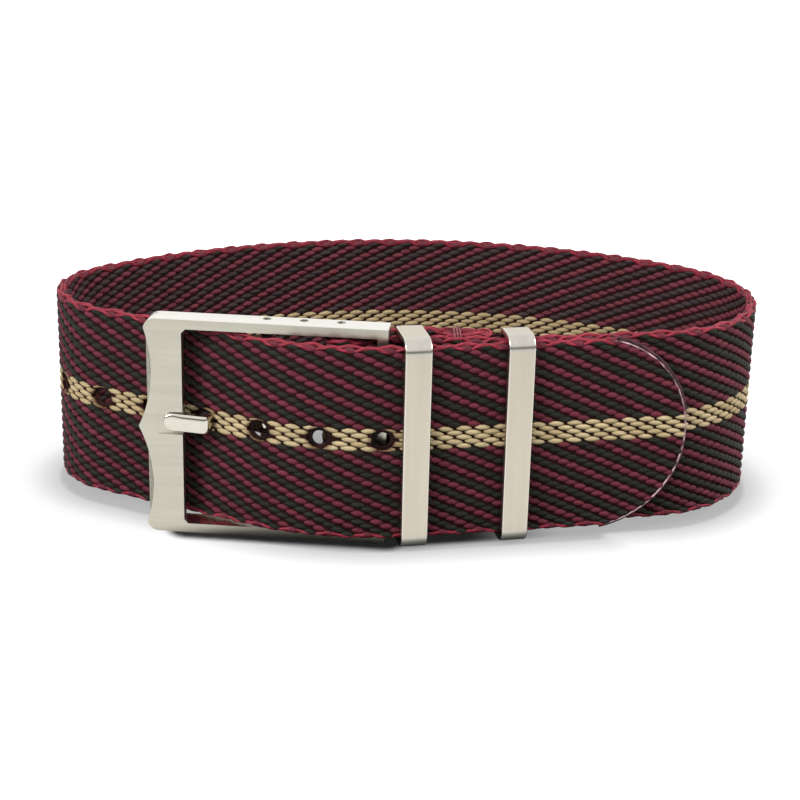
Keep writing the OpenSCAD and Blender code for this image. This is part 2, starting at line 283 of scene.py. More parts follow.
def tube(tree, curve, sides, radius, caps=False):
    """A round strand on a curve, which keeps how far along the curve and how far round it each point is."""
    parameter = add(tree, "GeometryNodeSplineParameter").outputs
    curve = keep(tree, curve, "along", parameter["Length"])
    ring = made(tree, "GeometryNodeCurvePrimitiveCircle", {"Resolution": sides, "Radius": radius})
    ring = keep(tree, ring, "around", parameter["Factor"])
    inputs = {"Curve": curve, "Profile Curve": ring, "Fill Caps": caps}
    return smooth(tree, made(tree, "GeometryNodeCurveToMesh", inputs))


def new_tree(name, inputs):
    """A geometry tree with these named inputs: (name, kind, first value)."""
    tree = bpy.data.node_groups.new(name, "GeometryNodeTree")
    tree.interface.new_socket("Geometry", in_out="OUTPUT", socket_type="NodeSocketGeometry")
    tree.interface.new_socket("Geometry", in_out="INPUT", socket_type="NodeSocketGeometry")
    for label, kind, value in inputs:
        socket = tree.interface.new_socket(label, in_out="INPUT", socket_type="NodeSocket" + kind)
        if value is not None:
            socket.default_value = value
    return tree, tree.nodes.new("NodeGroupInput").outputs


def end_tree(tree, geometry, material=None):
    if material is not None:
        inputs = {"Geometry": realized(tree, geometry), "Material": material}
        geometry = made(tree, "GeometryNodeSetMaterial", inputs)
    add(tree, "NodeGroupOutput", {0: geometry})


def grown(name, tree, values, base=None):
    """An object made by a geometry tree with these input values, as a plain mesh."""
    obj = base or new_object(name, [], [])
    modifier = obj.modifiers.new(name, "NODES")
    modifier.node_group = tree
    for item in tree.interface.items_tree:
        if item.in_out == "INPUT" and item.name in values:
            modifier[item.identifier] = values[item.name]
    return finished(obj)


def bend_tree():
    """Flat geometry, x along the ribbon, y out of its outer face and z up, is laid along the ribbon's middle line."""
    tree, given = new_tree("Bend along the ribbon", [("Middle line", "Object", None)])
    line = add(tree, "GeometryNodeObjectInfo", {"Object": given["Middle line"]}).outputs["Geometry"]
    line = made(tree, "GeometryNodeMeshToCurve", {"Mesh": line})
    x, y, z = apart(tree, here(tree))
    sample = add(tree, "GeometryNodeSampleCurve", {"Curves": line, "Length": x}, mode="LENGTH")
    outward = vec(tree, "NORMALIZE", vec(tree, "CROSS_PRODUCT", (0, 0, 1), sample.outputs["Tangent"]))
    place = vec(tree, "ADD", sample.outputs["Position"], scaled(tree, outward, y))
    place = vec(tree, "ADD", place, xyz(tree, z=z))
    end_tree(tree, put_at(tree, given["Geometry"], place))
    return tree


def bent(tree, geometry, line):
    return made(tree, "GeometryNodeGroup", {"Geometry": geometry, "Middle line": line}, node_tree=BEND)


def nearest_hole(tree, x):
    steps = over(tree, minus(tree, x, FIRST_HOLE * MM), HOLE_PITCH * MM)
    steps = calc(tree, "MINIMUM", calc(tree, "MAXIMUM", calc(tree, "ROUND", steps), 0), HOLES - 1)
    return xyz(tree, calc(tree, "MULTIPLY_ADD", steps, HOLE_PITCH * MM, FIRST_HOLE * MM), 0, HOLE_Z * MM)


def over_hole(tree, x, z, reach_x, reach_z):
    """True where a float would lie across the middle of a pinhole."""
    off = vec(tree, "SUBTRACT", xyz(tree, x, 0, z), nearest_hole(tree, x))
    off = vec(tree, "DIVIDE", off, (reach_x, 1.0, reach_z))
    return calc(tree, "LESS_THAN", vec(tree, "LENGTH", off), 1.0)


def away_from_holes(tree, geometry):
    """Yarn ends at the pinholes, where it is melted and drawn in; how near it is to one is kept as melted."""
    x, y, z = apart(tree, here(tree))
    hole = nearest_hole(tree, x)
    off = vec(tree, "SUBTRACT", xyz(tree, x, 0, z), hole)
    far = vec(tree, "LENGTH", off)
    out = over(tree, calc(tree, "MAXIMUM", far, (HOLE_R + 0.06) * MM), calc(tree, "MAXIMUM", far, 1e-6))
    low = between(tree, far, (HOLE_R + 0.1) * MM, (HOLE_R + 0.7) * MM, 0.86, 1)
    moved = vec(tree, "ADD", hole, scaled(tree, off, out))
    moved = vec(tree, "ADD", moved, xyz(tree, y=times(tree, y, low)))
    melted = between(tree, far, (HOLE_R + 0.05) * MM, (HOLE_R + 0.5) * MM, 1, 0)
    geometry = keep(tree, geometry, "melted", melted)
    return put_at(tree, geometry, moved)


def inside_tip(tree, geometry):
    """Yarn past the rounded tip is drawn in to its outline."""
    x, y, z = apart(tree, here(tree))
    middle = xyz(tree, TIP_R * MM, 0, WIDTH / 2 * MM)
    off = vec(tree, "SUBTRACT", xyz(tree, x, 0, z), middle)
    far = vec(tree, "LENGTH", off)
    share = calc(tree, "MINIMUM", over(tree, SEAL_R * MM, far), 1)
    moved = vec(tree, "ADD", vec(tree, "ADD", middle, scaled(tree, off, share)), xyz(tree, y=y))
    in_tip = calc(tree, "LESS_THAN", x, TIP_R * MM)
    inputs = {"Geometry": geometry, "Selection": in_tip, "Position": moved}
    return made(tree, "GeometryNodeSetPosition", inputs)


def float_tree():
    """Floats of yarn: ovals in rows on one face of the ribbon, each row one pick along from the row above."""
    tree, given = new_tree("Yarn floats", [
        ("Middle line", "Object", None),
        ("First row", "Int", 0),
        ("Last row", "Int", ROWS - 1),
        ("Left out from", "Int", -1),
        ("Left out to", "Int", -1),
        ("Picks apart", "Int", 4),
        ("Phase", "Int", 0),
        ("Float length", "Float", 1.6 * MM),
        ("Float width", "Float", 0.75 * MM),
        ("Float height", "Float", 0.6 * MM),
        ("Face", "Float", 1.0),
        ("Tilt", "Float", 0.15),
        ("Seed", "Int", 1),
        ("Material", "Material", None),
    ])
    seed = given["Seed"]
    apart_by = given["Picks apart"]
    per_row = over(tree, PICKS, apart_by)
    rows = plus(tree, minus(tree, given["Last row"], given["First row"]), 1)
    points = made(tree, "GeometryNodePoints", {"Count": times(tree, rows, per_row)})
    index = made(tree, "GeometryNodeInputIndex")
    row = plus(tree, calc(tree, "FLOOR", over(tree, index, per_row)), given["First row"])
    column = calc(tree, "MODULO", index, per_row)
    pick = plus(tree, times(tree, column, apart_by), given["Phase"])
    pick = calc(tree, "FLOORED_MODULO", minus(tree, pick, row), PICKS)
    pick = plus(tree, pick, 0.5)
    x = calc(tree, "MULTIPLY_ADD", pick, PICK * MM, random(tree, -0.05 * MM, 0.05 * MM, seed))
    y = times(tree, given["Face"], 0.31 * MM)
    z = calc(tree, "MULTIPLY_ADD", row, -ROW_PITCH * MM, (WIDTH - 0.5) * MM)
    z = plus(tree, z, random(tree, -0.02 * MM, 0.02 * MM, plus(tree, seed, 1)))
    points = put_at(tree, points, xyz(tree, x, y, z))
    off_tip = vec(tree, "LENGTH", xyz(tree, minus(tree, x, TIP_R * MM), 0, minus(tree, z, WIDTH / 2 * MM)))
    outside = calc(tree, "GREATER_THAN", off_tip, (TIP_R - 0.1) * MM)
    beyond = times(tree, calc(tree, "LESS_THAN", x, TIP_R * MM), outside)
    above = calc(tree, "GREATER_THAN", row, minus(tree, given["Left out from"], 0.5))
    below = calc(tree, "LESS_THAN", row, plus(tree, given["Left out to"], 0.5))
    in_stripe = times(tree, above, below)
    across = over_hole(tree, x, z, 1.15 * MM, 0.8 * MM)
    out = calc(tree, "MAXIMUM", calc(tree, "MAXIMUM", beyond, in_stripe), across)
    inputs = {"Geometry": points, "Selection": out}
    points = made(tree, "GeometryNodeDeleteGeometry", inputs, domain="POINT")
    ball = add(tree, "GeometryNodeMeshUVSphere", {"Segments": 8, "Rings": 5, "Radius": 0.5})
    shape = keep(tree, ball.outputs["Mesh"], "UVMap", ball.outputs["UV Map"], "FLOAT2", "CORNER")
    bx, by, bz = apart(tree, here(tree))
    # How high up the float each point is; the yarn's material paints shade towards the float's rim from it.
    shape = keep(tree, shape, "crown", times(tree, calc(tree, "ABSOLUTE", by), 2))
    wide = calc(tree, "MAXIMUM", vec(tree, "LENGTH", xyz(tree, bx, by)), 1e-5)
    slim = calc(tree, "POWER", times(tree, wide, 2), 0.15)
    lying = xyz(tree, bz, times(tree, by, slim), times(tree, bx, slim))
    shape = put_at(tree, shape, lying)
    tilt = minus(tree, random(tree, -0.05, 0.05, plus(tree, seed, 2)), given["Tilt"])
    size = xyz(tree, given["Float length"], given["Float height"], given["Float width"])
    size = scaled(tree, size, random(tree, 0.94, 1.05, plus(tree, seed, 3)))
    inputs = {"Points": points, "Instance": shape, "Rotation": xyz(tree, y=tilt), "Scale": size}
    floats = made(tree, "GeometryNodeInstanceOnPoints", inputs)
    floats = keep(tree, floats, "tone", random(tree, 0, 1, plus(tree, seed, 4)), domain="INSTANCE")
    floats = smooth(tree, realized(tree, floats))
    floats = inside_tip(tree, away_from_holes(tree, floats))
    floats = bent(tree, floats, given["Middle line"])
    end_tree(tree, floats, given["Material"])
    return tree


def cord_tree():
    """A wavy strand of yarn along one edge of the ribbon, which dips once for every diagonal of the weave."""
    tree, given = new_tree("Edge strand", [
        ("Middle line", "Object", None),
        ("From", "Float", 0.0),
        ("To", "Float", LENGTH * MM),
        ("Height", "Float", 0.0),
        ("Out", "Float", 0.28 * MM),
        ("Radius", "Float", 0.2 * MM),
        ("Dips at", "Float", 0.0),
        ("Wave", "Float", 0.15 * MM),
        ("Material", "Material", None),
    ])
    inputs = {"Start": xyz(tree, given["From"]), "End": xyz(tree, given["To"])}
    line = made(tree, "GeometryNodeCurvePrimitiveLine", inputs)
    line = made(tree, "GeometryNodeResampleCurve", {"Curve": line, "Length": 0.25 * MM}, mode="LENGTH")
    x, y, z = apart(tree, here(tree))
    picks = minus(tree, over(tree, x, PICK * MM), given["Dips at"])
    turn = times(tree, picks, math.pi / 2)
    wander = add(tree, "ShaderNodeTexNoise", {"W": times(tree, x, 330.0)}, noise_dimensions="1D")
    wander = minus(tree, wander.outputs["Fac"], 0.5)
    wave_z = times(tree, calc(tree, "COSINE", turn), given["Wave"])
    wave_z = calc(tree, "MULTIPLY_ADD", wander, 0.16 * MM, times(tree, wave_z, -1))
    wave_y = times(tree, calc(tree, "SINE", times(tree, turn, 2)), 0.05 * MM)
    place = xyz(tree, x, plus(tree, given["Out"], wave_y), plus(tree, given["Height"], wave_z))
    strand = tube(tree, put_at(tree, line, place), 8, given["Radius"], True)
    end_tree(tree, bent(tree, strand, given["Middle line"]), given["Material"])
    return tree


def rim_tree():
    """The melted rims of the pinholes, and the sealed edge of the tip: rounded beads with uneven thickness."""
    tree, given = new_tree("Melted edge", [
        ("Middle line", "Object", None),
        ("Count", "Int", 1),
        ("First", "Vector", (0, 0, 0)),
        ("Apart", "Float", HOLE_PITCH * MM),
        ("Radius", "Float", 1.5 * MM),
        ("Sweep", "Float", 2 * math.pi),
        ("Bead", "Float", 0.3 * MM),
        ("Bead depth", "Float", 0.62 * MM),
        ("Uneven", "Float", 0.1 * MM),
        ("Material", "Material", None),
    ])
    inputs = {"Count": given["Count"], "Start Location": given["First"], "Offset": xyz(tree, given["Apart"])}
    points = made(tree, "GeometryNodeMeshLine", inputs, mode="OFFSET")
    arc = made(tree, "GeometryNodeCurveArc", {
        "Resolution": 96, "Radius": given["Radius"], "Sweep Angle": given["Sweep"],
        "Start Angle": minus(tree, math.pi, times(tree, given["Sweep"], 0.5)),
    }, mode="RADIUS")
    x, y, z = apart(tree, here(tree))
    arc = put_at(tree, arc, xyz(tree, x, 0, y))
    ring = made(tree, "GeometryNodeCurvePrimitiveCircle", {"Resolution": 12, "Radius": 1.0})
    rx, ry, rz = apart(tree, here(tree))
    shape = xyz(tree, times(tree, rx, given["Bead"]), times(tree, ry, given["Bead depth"]))
    ring = put_at(tree, ring, shape)
    bead = made(tree, "GeometryNodeCurveToMesh", {"Curve": arc, "Profile Curve": ring, "Fill Caps": True})
    beads = made(tree, "GeometryNodeInstanceOnPoints", {"Points": points, "Instance": bead})
    beads = realized(tree, beads)
    uneven = add(tree, "ShaderNodeTexNoise", {"Vector": here(tree), "Scale": 1400.0})
    off = vec(tree, "SUBTRACT", uneven.outputs["Color"], (0.5, 0.5, 0.5))
    off = scaled(tree, off, times(tree, given["Uneven"], 2))
    beads = made(tree, "GeometryNodeSetPosition", {"Geometry": beads, "Offset": off})
    end_tree(tree, bent(tree, smooth(tree, beads), given["Middle line"]), given["Material"])
    return tree


def stitch_tree():
    """Closed loops of thread through the sewn layers, side by side."""
    tree, given = new_tree("Thread loops", [
        ("Count", "Int", 3),
        ("First", "Vector", (0, 0, 0)),
        ("Step", "Vector", (0, 0, 0)),
        ("Depth", "Float", MM),
        ("Height", "Float", MM),
        ("Thread radius", "Float", 0.07 * MM),
        ("Material", "Material", None),
    ])
    inputs = {"Count": given["Count"], "Start Location": given["First"], "Offset": given["Step"]}
    points = made(tree, "GeometryNodeMeshLine", inputs, mode="OFFSET")
    inputs = {"Width": given["Depth"], "Height": given["Height"]}
    loop = made(tree, "GeometryNodeCurvePrimitiveQuadrilateral", inputs, mode="RECTANGLE")
    x, y, z = apart(tree, here(tree))
    inputs = {"Curve": put_at(tree, loop, xyz(tree, 0, x, y)), "Radius": 0.25 * MM, "Count": 5}
    loop = made(tree, "GeometryNodeFilletCurve", inputs, mode="POLY")
    loop = made(tree, "GeometryNodeResampleCurve", {"Curve": loop, "Length": 0.12 * MM}, mode="LENGTH")
    thread = tube(tree, loop, 10, given["Thread radius"])
    loops = made(tree, "GeometryNodeInstanceOnPoints", {"Points": points, "Instance": thread})
    end_tree(tree, loops, given["Material"])
    return tree


# Materials

def srgb(*colour):
    """A colour given as it looks on a screen, 0 to 255."""
    return tuple(((c / 255 + 0.055) / 1.055) ** 2.4 if c > 10 else c / 255 / 12.92 for c in colour) + (1.0,)


def coat(tree, **values):
    """Gives the material's shader these values, or what these sockets give."""
    for key, value in values.items():
        put(tree, tree.nodes["Principled BSDF"].inputs[key.replace("_", " ")], value)


def new_material(name, **values):
    material = bpy.data.materials.new(name)
    material.use_nodes = True
    coat(material.node_tree, **values)
    return material, material.node_tree


def attribute(tree, name):
    return add(tree, "ShaderNodeAttribute", attribute_name=name).outputs["Fac"]


def object_place(tree):
    return add(tree, "ShaderNodeTexCoord").outputs["Object"]


def noise(tree, vector, scale, detail=2.0, roughness=0.5):
    inputs = {"Vector": vector, "Scale": scale, "Detail": detail, "Roughness": roughness}
    return add(tree, "ShaderNodeTexNoise", inputs).outputs["Fac"]


def blended(tree, factor, a, b):
    node = add(tree, "ShaderNodeMix", {"Factor": factor}, data_type="RGBA")
    put(tree, node.inputs["A"], a)
    put(tree, node.inputs["B"], b)
    return node.outputs["Result"]


def bumped(tree, height, distance, strength=1.0):
    return made(tree, "ShaderNodeBump", {"Height": height, "Distance": distance, "Strength": strength})


def yarn(name, painted_gap_shade, dark, light, melt):
    """Multifilament yarn: each float has its own tone, painted shade down in the gaps between floats, and filaments
    along it whose grooves are painted a little darker.
    """
    material, tree = new_material(name, Roughness=0.62, Specular_IOR_Level=0.16)
    painted_gap_shade, dark, light, melt = [srgb(*colour) for colour in (painted_gap_shade, dark, light, melt)]
    tone = attribute(tree, "tone")
    cloud = noise(tree, object_place(tree), 160.0)
    u = apart(tree, made(tree, "ShaderNodeUVMap", uv_map="UVMap"))[0]
    filament = calc(tree, "SINE", times(tree, u, 2 * math.pi * 14))
    mixed = plus(tree, times(tree, tone, 0.5), times(tree, cloud, 0.35))
    # Painted shade: each filament's groove is a little darker than its ridge, in step with its bump.
    mixed = plus(tree, mixed, between(tree, filament, -1, 1, 0, 0.15))
    colour = blended(tree, mixed, dark, light)
    # Painted shade: each float darkens to the gap colour towards its rim, where it dips into the gaps between floats.
    colour = blended(tree, between(tree, attribute(tree, "crown"), 0.02, 0.6), painted_gap_shade, colour)
    colour = blended(tree, times(tree, attribute(tree, "melted"), 0.8), colour, melt)
    coat(tree, Base_Color=colour, Normal=bumped(tree, filament, 0.012 * MM, 0.6))
    return material


def strand(name, dark, light, lay):
    """Yarn that runs round a path, with its plies laid at an angle and painted shade in the grooves between them."""
    material, tree = new_material(name, Roughness=0.5, Specular_IOR_Level=0.22)
    along = attribute(tree, "along")
    around = attribute(tree, "around")
    turn = plus(tree, over(tree, along, lay), times(tree, around, 2))
    ply = calc(tree, "SINE", times(tree, turn, 2 * math.pi))
    cloud = noise(tree, object_place(tree), 420.0)
    # Painted shade: the colour darkens into the grooves between the plies, in step with their bump; the noise is the
    # yarn's own uneven tone.
    mixed = plus(tree, times(tree, between(tree, ply, -1, 1), 0.35), times(tree, cloud, 0.65))
    colour = blended(tree, mixed, srgb(*dark), srgb(*light))
    coat(tree, Base_Color=colour, Normal=bumped(tree, ply, 0.03 * MM))
    return material


def steel(name, colour, roughness, stretch, turn=0.0, scale=900.0, depth=0.004, marks=0.12):
    """Brushed or polished steel, with fine marks drawn out along one direction; depth is the marks' own, in mm."""
    material, tree = new_material(name, Metallic=1.0)
    inputs = {"Vector": object_place(tree), "Rotation": (0, 0, math.radians(turn)), "Scale": stretch}
    drawn = made(tree, "ShaderNodeMapping", inputs, vector_type="TEXTURE")
    lines = noise(tree, drawn, scale, 5.0, 0.65)
    smudge = noise(tree, object_place(tree), 120.0, 3.0)
    dark = tuple(c * (1 - marks) for c in colour)
    colour = blended(tree, between(tree, lines, 0.3, 0.7), (*dark, 1.0), (*colour, 1.0))
    rough = calc(tree, "MULTIPLY_ADD", smudge, 0.1, roughness - 0.05)
    coat(tree, Base_Color=colour, Roughness=rough, Normal=bumped(tree, lines, depth * MM))
    return material


def core_fabric():
    material, tree = new_material("weft_shadow", Roughness=0.9, Specular_IOR_Level=0.0)
    cloud = noise(tree, object_place(tree), 700.0, 3.0)
    coat(tree, Base_Color=blended(tree, cloud, srgb(30, 17, 16), srgb(52, 30, 29)))
    return material


def melted_nylon(name, dark, light, shine=0.3):
    material, tree = new_material(name, Specular_IOR_Level=shine, Roughness=0.45)
    cloud = noise(tree, object_place(tree), 900.0, 4.0)
    colour = blended(tree, between(tree, cloud, 0.35, 0.65), srgb(*dark), srgb(*light))
    grain = noise(tree, object_place(tree), 2600.0, 3.0)
    coat(tree, Base_Color=colour, Normal=bumped(tree, grain, 0.03 * MM))
    return material


# Each yarn: the painted shade in its gaps, its dark and light tones, and its colour where melted.
burgundy_yarn = yarn("burgundy_yarn", (62, 25, 31), (76, 26, 38), (108, 44, 56), (44, 20, 22))
# The inner face's yarns hold that face's own colours; the beige's light tone is also darker than the outer face's, as
# painted shade for the shaded inside of the loop.
inner_burgundy_yarn = yarn("inner_burgundy_yarn", (58, 28, 34), (84, 35, 45), (110, 50, 60), (44, 20, 22))
dark_yarn = yarn("dark_green_yarn", (28, 21, 19), (22, 23, 18), (37, 37, 31), (34, 20, 20))
inner_dark_yarn = yarn("inner_dark_yarn", (42, 27, 30), (46, 36, 37), (62, 50, 50), (34, 20, 20))
beige_yarn = yarn("beige_yarn", (84, 62, 34), (152, 132, 96), (196, 178, 140), (96, 66, 48))
inner_beige_yarn = yarn("inner_beige_yarn", (122, 100, 70), (148, 128, 94), (174, 154, 118), (96, 66, 48))
edge_yarn = strand("edge_yarn", (80, 18, 31), (156, 46, 62), 1.6 * MM)
sewing_thread = strand("sewing_thread", (100, 46, 54), (156, 102, 106), 0.5 * MM)
core_material = core_fabric()
# The pinholes' rims: melted brown nylon, darkened nearly to black as painted shade down in the holes.
rim_material = melted_nylon("melted_rim", (12, 6, 6), (48, 25, 23), 0.08)
seal_material = melted_nylon("sealed_tip", (26, 12, 15), (70, 34, 42))
seal_line_material = melted_nylon("sealed_tip_line", (66, 34, 42), (206, 172, 176))
ALONG_X, ALONG_Z = (16.0, 1.0, 1.0), (1.0, 1.0, 16.0)
satin_steel = steel("satin_steel", (0.62, 0.595, 0.50), 0.34, ALONG_X, -YAW, depth=0.006, marks=0.16)
# Flat faces facing up and down: a smoother finish, and a paler colour as painted light falling from above.
ground_steel = steel("ground_steel", (0.88, 0.86, 0.79), 0.26, ALONG_X, -YAW, marks=0.08)
keeper_steel = steel("keeper_steel", (0.66, 0.60, 0.495), 0.34, ALONG_Z, marks=0.09)
bend_steel = steel("bend_steel", (0.66, 0.63, 0.56), 0.24, ALONG_Z, marks=0.1)
polished_steel = steel("polished_steel", (0.73, 0.70, 0.61), 0.16, (1.0, 1.0, 5.0), 0.0, 500.0, 0.0015, 0.06)
bar_steel = steel("bar_steel", (0.50, 0.49, 0.46), 0.28, (1.0, 1.0, 10.0))
# The bars' pin ends: steel darkened nearly to black as painted shade, as if sunk in the arm holes.
pin_steel = steel("pin_steel", (0.12, 0.115, 0.11), 0.45, (1.0, 1.0, 1.0))


# The ribbon

def middle_line():
    found = stations(straight=0.5, degrees=1.5)
    verts = [placed(p[0], p[1], 0) for s, p in found]
    mesh = bpy.data.meshes.new("middle_line")
    mesh.from_pydata(verts, [(i, i + 1) for i in range(len(verts) - 1)], [])
    return linked("middle_line", mesh)


def band_core(half_thick, inset):
    """The ribbon's inside, which shows between the floats: one sheet with a rounded tip and its pinholes."""
    low, high = inset, WIDTH - inset
    radius = TIP_R - inset
    dip = math.sqrt(radius ** 2 - (WIDTH / 2 - inset) ** 2)
    start = TIP_R - dip
    turns = 48
    first = math.degrees(math.atan2(WIDTH / 2 - inset, -dip))
    arc = [first + (360 - 2 * first) * i / turns for i in range(turns + 1)]
    ends = [s for s, p in stations(straight=1.0, degrees=4.0) if s > start + 0.3]
    outline = [(TIP_R + radius * cos(a), WIDTH / 2 + radius * sin(a)) for a in arc]
    outline += [(s, low) for s in ends] + [(s, high) for s in reversed(ends)]
    loops = [outline]
    radii = [USED_HOLE_R if i == USED_HOLE else HOLE_R * 1.1 for i in range(HOLES)]
    for i, hole in enumerate(radii):
        centre = FIRST_HOLE + i * HOLE_PITCH
        loops.append([(centre + hole * cos(a), HOLE_Z + hole * sin(a)) for a in range(0, 360, 12)])
    points, edges = [], []
    for loop in loops:
        n = len(points)
        points += loop
        edges += [(n + i, n + (i + 1) % len(loop)) for i in range(len(loop))]

    def in_hole(s, z, room=0.0):
        i = min(max(round((s - FIRST_HOLE) / HOLE_PITCH), 0), HOLES - 1)
        return math.hypot(s - FIRST_HOLE - i * HOLE_PITCH, z - HOLE_Z) < radii[i] + room

    for s in ends:
        for z in np.linspace(low, high, 10)[1:-1]:
            if not in_hole(s, z, 0.2) and (s > TIP_R or math.hypot(s - TIP_R, z - WIDTH / 2) < radius - 0.3):
                points.append((s, z))
    for s in np.arange(1.0, start + 0.3, 1.2):
        for z in np.linspace(low, high, 10)[1:-1]:
            if math.hypot(s - TIP_R, z - WIDTH / 2) < radius - 0.3:
                points.append((s, z))
    verts, _, faces, *_ = delaunay_2d_cdt([Vector(p) for p in points], edges, [], 1, 1e-5)
    faces = [f for f in faces if not in_hole(sum(verts[i].x for i in f) / 3, sum(verts[i].y for i in f) / 3)]
    count = len(verts)
    solid = [(v.x * MM, side * half_thick * MM, v.y * MM) for side in (1, -1) for v in verts]
    sides = dict.fromkeys(pair for f in faces for pair in zip(f, f[1:] + f[:1]))
    walls = [(b, a, a + count, b + count) for a, b in sides if (b, a) not in sides]
    both = [tuple(f) for f in faces] + [tuple(i + count for i in reversed(f)) for f in faces]
    return new_object("ribbon_core", solid, both + walls, smooth=False)


def sheet_tree():
    tree, given = new_tree("Laid along the ribbon", [("Middle line", "Object", None), ("Material", "Material", None)])
    end_tree(tree, bent(tree, given["Geometry"], given["Middle line"]), given["Material"])
    return tree


BEND = bend_tree()
line = middle_line()
pieces = {}

core = grown("ribbon_core", sheet_tree(), {"Middle line": line, "Material": core_material}, band_core(0.36, 0.3))
pieces["ribbon_core"] = core

floats = float_tree()
ground = {"Left out from": STRIPE_ROWS[0], "Left out to": STRIPE_ROWS[1]}
short = {**ground, "Float length": 1.56 * MM}
long = {**ground, "Float length": 1.72 * MM}
stripe = {"First row": STRIPE_ROWS[0], "Last row": STRIPE_ROWS[1], "Picks apart": 2,
          "Float length": 1.92 * MM, "Float width": 0.7 * MM, "Tilt": 0.1}
for name, colour, face, phase, seed, form in [
    ("outer_burgundy_floats", burgundy_yarn, 1.0, 0, 11, short),
    ("outer_dark_floats", dark_yarn, 1.0, 2, 23, long),
    ("inner_burgundy_floats", inner_burgundy_yarn, -1.0, 2, 37, short),
    ("inner_dark_floats", inner_dark_yarn, -1.0, 0, 41, long),
    ("outer_stripe_floats", beige_yarn, 1.0, 0, 53, stripe),
    ("inner_stripe_floats", inner_beige_yarn, -1.0, 0, 67, stripe),
]:
    pieces[name] = grown(name, floats, {
        "Middle line": line, "Face": face, "Phase": phase, "Seed": seed, "Material": colour, **form,
    })

cords = cord_tree()
for edge, height, wave in [("top", WIDTH - 0.33, 1), ("bottom", 0.33, -1)]:
    for side, out, dips in [("outer", 0.34, 0.5), ("middle", 0.0, 2.5), ("inner", -0.34, 2.5)]:
        name = f"{edge}_edge_{side}_strand"
        lift, swing = (0.05, 0.12) if side == "middle" else (-0.08, 0.22 if wave > 0 else 0.13)
        pieces[name] = grown(name, cords, {
            "Middle line": line, "From": CORDS_FROM * MM, "Height": (height + wave * lift) * MM, "Out": out * MM,
            "Dips at": dips + (0 if wave > 0 else 2), "Wave": wave * swing * MM, "Material": edge_yarn,
        })

rims = rim_tree()
pieces["pinhole_rims"] = grown("pinhole_rims", rims, {
    "Middle line": line, "Count": HOLES, "First": (FIRST_HOLE * MM, 0, HOLE_Z * MM), "Material": rim_material,
    "Radius": (HOLE_R + 0.06) * MM, "Bead": 0.09 * MM, "Bead depth": 0.5 * MM, "Uneven": 0.05 * MM,
})
seal_sweep = 1.93 * math.acos((TIP_R - 9.827) / TIP_R)
for name, out, bead, deep, colour in [
    ("tip_seal", 0.0, 0.12, 0.44, seal_material),
    ("tip_seal_outer_line", 0.43, 0.085, 0.085, seal_line_material),
    ("tip_seal_inner_line", -0.43, 0.085, 0.085, seal_line_material),
]:
    pieces[name] = grown(name, rims, {
        "Middle line": line, "Count": 1, "First": (TIP_R * MM, out * MM, WIDTH / 2 * MM), "Sweep": seal_sweep,
        "Radius": SEAL_R * MM, "Bead": bead * MM, "Bead depth": deep * MM, "Uneven": 0.05 * MM,
        "Material": colour,
    })

stitches = stitch_tree()
DEEP = 2 * LAYER + THICK + 0.3
seam_at = Matrix.Translation(placed(HEM[0], HEM[1], 0)) @ Matrix.Rotation(math.radians(-10), 4, "Z")
for name, count, first_x, first_z, step, height in [
    ("fold_stitch_row", 7, SEAM[0], WIDTH / 2 - 3 * STITCH, (0, 0, STITCH), 1.4),
    ("top_edge_tack", 3, SEAM[0] - WRAP, WIDTH - TACK_IN, (WRAP, 0, 0), 1.5),
    ("bottom_edge_tack", 3, SEAM[0] - WRAP, TACK_IN, (WRAP, 0, 0), 1.5),
]:
    first = Vector((first_x, SEAM[1], first_z)) * MM
    obj = grown(name + "_thread", stitches, {
        "Count": count, "First": tuple(first), "Step": tuple(Vector(step) * MM), "Depth": (DEEP - 0.55) * MM,
        "Height": height * MM, "Material": sewing_thread,
    })
    obj.data.transform(seam_at)
    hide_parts(name)
    pieces[obj.name] = obj

for obj in pieces.values():
    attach(obj, "strap")
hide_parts("strap_band")
bpy.data.objects.remove(line)


# The steel pieces

FACE = -2.0           # in the buckle's axes, in millimetres
SEAT_FLOOR = -1.3
SEAT_END = -19.72
WINDOW = -16.97
ARMS = (-16.5, 5.26)
TONGUE_BAR = -8.0
BEND_R = 0.45
EDGE_R = 0.14


def frame_place(point):
    """A point's place in the buckle's axes, in millimetres."""
    x = point.x / MM + MIDDLE[0] - BAR[0]
    y = point.y / MM + MIDDLE[1] - BAR[1]
    return x * cos(YAW) - y * sin(YAW), x * sin(YAW) + y * cos(YAW), point.z / MM - LIFT


